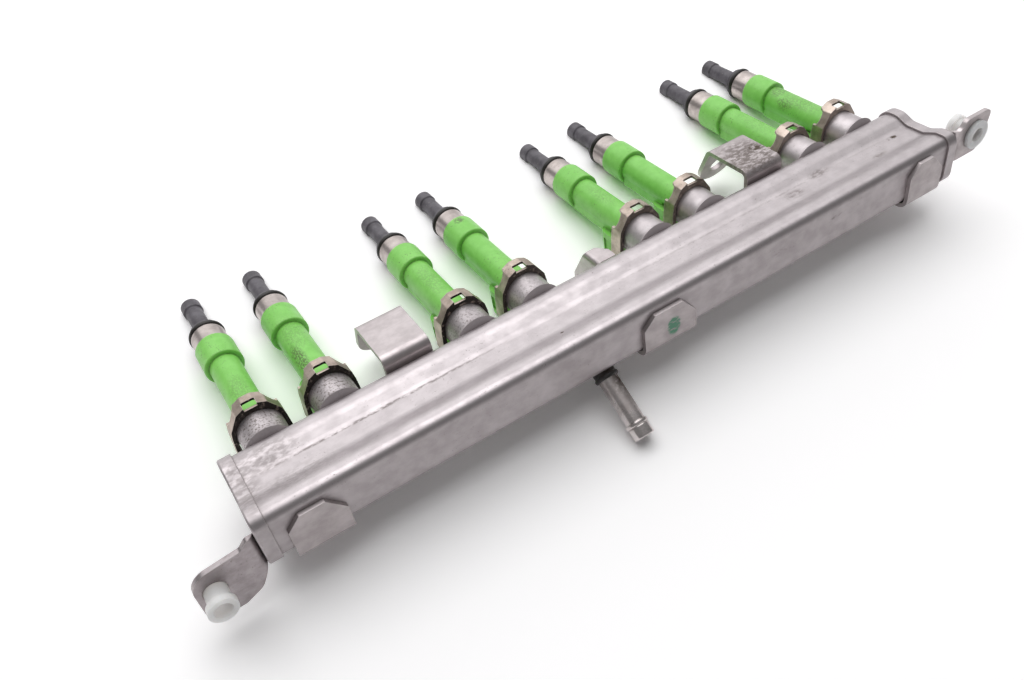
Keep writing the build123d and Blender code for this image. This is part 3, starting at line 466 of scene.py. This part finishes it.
def moulded(name, light, deep, roughness, soil_shade_share, soil_shade_colour="#4A4032", ior=1.5, milky=0.0, extra=()):
    """Plastic from two tones; milky is how much light it lets in, extra adds masks of smudges and
    stains.
    """
    material, tree, point = new_material(name)
    drift = patches(tree, point, TONE_DRIFT, 0.30, 0.70)
    skin = add(tree, "Mix", {0: drift, 6: deep, 7: light}, data_type="RGBA").outputs[2]
    # grime and specks, and painted shade in crevices
    covered = soil_and_shade(tree, point, soil_shade_share, extra, **MOULD_SOIL_AND_SHADE)
    shader = add(tree, "BsdfPrincipled", {
        "Base Color": add(tree, "Mix", {0: covered, 6: skin, 7: soil_shade_colour}, data_type="RGBA").outputs[2],
        "Roughness": add(tree, "Mix", {0: drift, 2: roughness + DULL_ADDS, 3: roughness + CLEAN_ADDS}),
        "IOR": ior,
        "Normal": grained(tree, point, MOULD_GRAIN, MOULD_DEPTH, MOULDED_EDGE),
        "Subsurface Weight": milky,
        "Subsurface Scale": LIGHT_PATH * MM,
        "Subsurface Radius": PATH_BY_COLOUR,
    })
    add(tree, "OutputMaterial", {"Surface": shader})
    return material


print("plastic: tones drift over", TONE_DRIFT, "mm, and light goes", LIGHT_PATH, "mm into the milky one")

# %% [markdown]
# ## Mouldings and seals
# The injector bodies are moulded in green glass-filled nylon, and the nozzle extensions in black
# nylon that lies under dry, grey carbon dust. Smudges sit on the tops of the bodies, where hands
# and oil reach them. Dust and smudges could be a layer of their own, but they only change the
# colour and the gloss here, so they are masks in the finish. The bushes are acetal.

# %% Mouldings and seals
BODY_SMUDGES = [
    # place in mm, reach on each axis in mm, strength
    ((139.7, -17.0, 6.5), (7.0, 6.0, 5.0), 0.60),
    ((139.7, -32.0, 6.0), (8.0, 18.0, 5.0), 0.35),
    ((135.5, -25.0, 3.5), (3.0, 7.0, 5.0), 0.60),
    ((112.3, -30.0, 6.0), (5.0, 16.0, 4.0), 0.20),
    ((-115.5, -35.0, 5.5), (3.6, 13.0, 5.0), 0.80),
    ((-112.3, -20.0, 6.0), (7.0, 16.0, 5.0), 0.25),
    ((-139.7, -36.0, 6.0), (6.0, 12.0, 5.0), 0.30),
    ((-28.3, -3.0, 7.5), (3.0, 3.0, 3.0), 0.80),
    ((-55.7, -28.0, 6.0), (6.0, 16.0, 4.0), 0.25),
    ((28.3, -28.0, 6.0), (5.0, 14.0, 4.0), 0.25),
]
smudges = [stain(*row, grain=0.5, stretch=(1, 2, 1)) for row in BODY_SMUDGES]

# Glass-filled nylon: fibres near the skin make it uneven, so the gloss is soft and highlights pale
green_nylon = moulded("glass_filled_green_nylon", "#90DC6A", "#84D25C", 0.38, 0.6, ior=1.53,
                      extra=smudges)
dress(green_nylon, "injector_body_*")

# Black nylon under dry carbon dust: dull and grey, with hardly a highlight left
dusty_nylon = moulded("carbon_dusted_black_nylon", "#67636A", "#4B474D", 0.50, 0.7, "#7E7A78", ior=1.53)
dress(dusty_nylon, "nozzle_tip_*")

# Moulded fluoro rubber: near black, with a faint sheen along the ring
seal_rubber = moulded("fluoro_rubber", "#2E2A29", "#201D1C", 0.42, 0.5)
dress(seal_rubber, "lower_o_rings", "upper_o_rings")

# Braze under baked soot: black, glossy where it is smooth and brown where it flakes
blackened_braze = moulded("sooted_braze", "#2B2725", "#191615", 0.35, 0.5, "#5A4A3C")
dress(blackened_braze, "pipe_socket")

# Moulded acetal: light that goes in under its skin keeps the white soft, with no hard shadow side
milky_acetal = moulded("milky_acetal", "#FBF8F5", "#F4EFEA", 0.34, 0.2, "#C3B09B", ior=1.48, milky=1.0)
dress(milky_acetal, "bolt_bush_*")

# Filter nylon: pale and matt; it sits inside the cups, where its weave isn't seen
filter_nylon = moulded("filter_nylon", "#D9D2C2", "#C2BAA8", 0.5, 0.2)
dress(filter_nylon, "inlet_filters")

# %% [markdown]
# ## White table
# The part lies as it was put down: the nozzle tips touch the table at the far side, and the inlet
# pipe props up the near side. The part could be tilted until it rests, but then its frame would no
# longer be that of the model, so the table is tilted instead. It is the plane through the lowest
# point of a tip and the point of the pipe that a board would meet first when swung up about it.
# The picture was exposed so that the card clears to white. So for rays that see the table, directly
# or in metal, the card is a little paler than the card that throws light back onto the part.

# %% Table
TABLE_METRES = 8.0
CARD_LIFT = 0.25
SEEING_RAYS = ("Is Camera Ray", "Is Glossy Ray", "Is Transmission Ray")

tip = min((v.co for v in NODES["nozzle_tip_1"].data.vertices), key=lambda place: place.z)
foot = max((v.co for v in NODES["inlet_pipe"].data.vertices),
           key=lambda place: (tip.z - place.z) / (tip.y - place.y))
across = Vector((1, 0, 0))
along = Vector((0, tip.y - foot.y, tip.z - foot.z)).normalized()
sides = ((-1, -1), (1, -1), (1, 1), (-1, 1))
corners = [foot + TABLE_METRES / 2 * (a * across + b * along) for a, b in sides]
table_mesh = bpy.data.meshes.new("table")
table_mesh.from_pydata(corners, [], [(0, 1, 2, 3)])
table = bpy.data.objects.new("table", table_mesh)
bpy.context.collection.objects.link(table)

# White card: matt paper with no shine at all
card, tree, _ = new_material("white_card")
rays = add(tree, "LightPath", {})
seen = strongest(tree, [rays.outputs[kind] for kind in SEEING_RAYS])
share = add(tree, "Math", {0: seen, 1: CARD_LIFT}, operation="MULTIPLY")
white = add(tree, "BsdfDiffuse", {"Color": "#FAF9FA"})
lift = add(tree, "BsdfDiffuse", {"Color": add(tree, "CombineColor", {0: share, 1: share, 2: share})})
add(tree, "OutputMaterial", {"Surface": add(tree, "AddShader", {0: white, 1: lift})})
table_mesh.materials.append(card)
lean = degrees(along.angle(Vector((0, 1, 0))))
print("the table leans", round(lean, 1), "degrees against the rail")

# %% [markdown]
# ## Light
# The photograph was taken in a dim room with white walls, under soft light from behind and above.
# The shadow falls towards the camera, and the front of the rail mirrors that shadow. A picture of a
# studio wrapped round the scene could light it too, but lamps keep each cause apart: a softbox of
# several metres behind the part makes the broad sheen on the steel, and a panel overhead lights
# what faces up. Each was rendered alone first, and then their shares were chosen so that the steel,
# the green and the card come about as bright as in the photograph.

# %% Lamps and room
ROOM_LIGHT = 0.205
LAMPS = {
    # name: place in metres, size in metres, watts
    "softbox": ((0.80, 1.65, 2.40), (6.0, 4.4), 76.0),
    "overhead_panel": ((0.0, 0.30, 2.60), (3.0, 3.0), 43.0),
}

world = bpy.data.worlds.new("white_room")
world.use_nodes = True
world.node_tree.nodes.clear()
walls = add(world.node_tree, "Background", {"Color": "#FFFFFF", "Strength": ROOM_LIGHT})
add(world.node_tree, "OutputWorld", {"Surface": walls})
bpy.context.scene.world = world

for name, (place, size, watts) in LAMPS.items():
    light = bpy.data.lights.new(name, "AREA")
    light.shape = "RECTANGLE"
    light.size, light.size_y = size
    light.energy = watts
    lamp = bpy.data.objects.new(name, light)
    lamp.location = place
    lamp.rotation_euler = (-Vector(place)).to_track_quat("-Z", "Y").to_euler()
    bpy.context.collection.objects.link(lamp)
    print(name, "at", round(Vector(place).length, 2), "m")

# %% [markdown]
# ## Camera
# The camera stands where the photograph was taken from. It could be moved by eye until the edges
# lie right, but place and lens are hard to tell apart that way. So both were worked out from the
# rail's straight edges, which run to one vanishing point, and the even spacing of the injectors.

# %% Camera
CAMERA_PLACE = Vector((-149.8, -296.6, 223.2)) * MM
CAMERA_RIGHT = Vector((0.83802, -0.52703, -0.14128))
CAMERA_UP = Vector((0.44925, 0.51952, 0.72683))
SENSOR_MM = 36.0
LENS_MM = 31.66

lens = bpy.data.cameras.new("photo_camera")
lens.sensor_width = SENSOR_MM
lens.lens = LENS_MM
lens.clip_start = 0.01
lens.clip_end = 50.0
camera = bpy.data.objects.new("photo_camera", lens)
backwards = CAMERA_RIGHT.cross(CAMERA_UP).normalized()
turn = Matrix((CAMERA_RIGHT, CAMERA_UP, backwards)).transposed()
camera.matrix_world = Matrix.Translation(CAMERA_PLACE) @ turn.to_4x4()
bpy.context.collection.objects.link(camera)
bpy.context.scene.camera = camera
bpy.context.scene.view_settings.view_transform = "Standard"
print("camera", round(CAMERA_PLACE.length, 3), "m away,", LENS_MM, "mm lens")
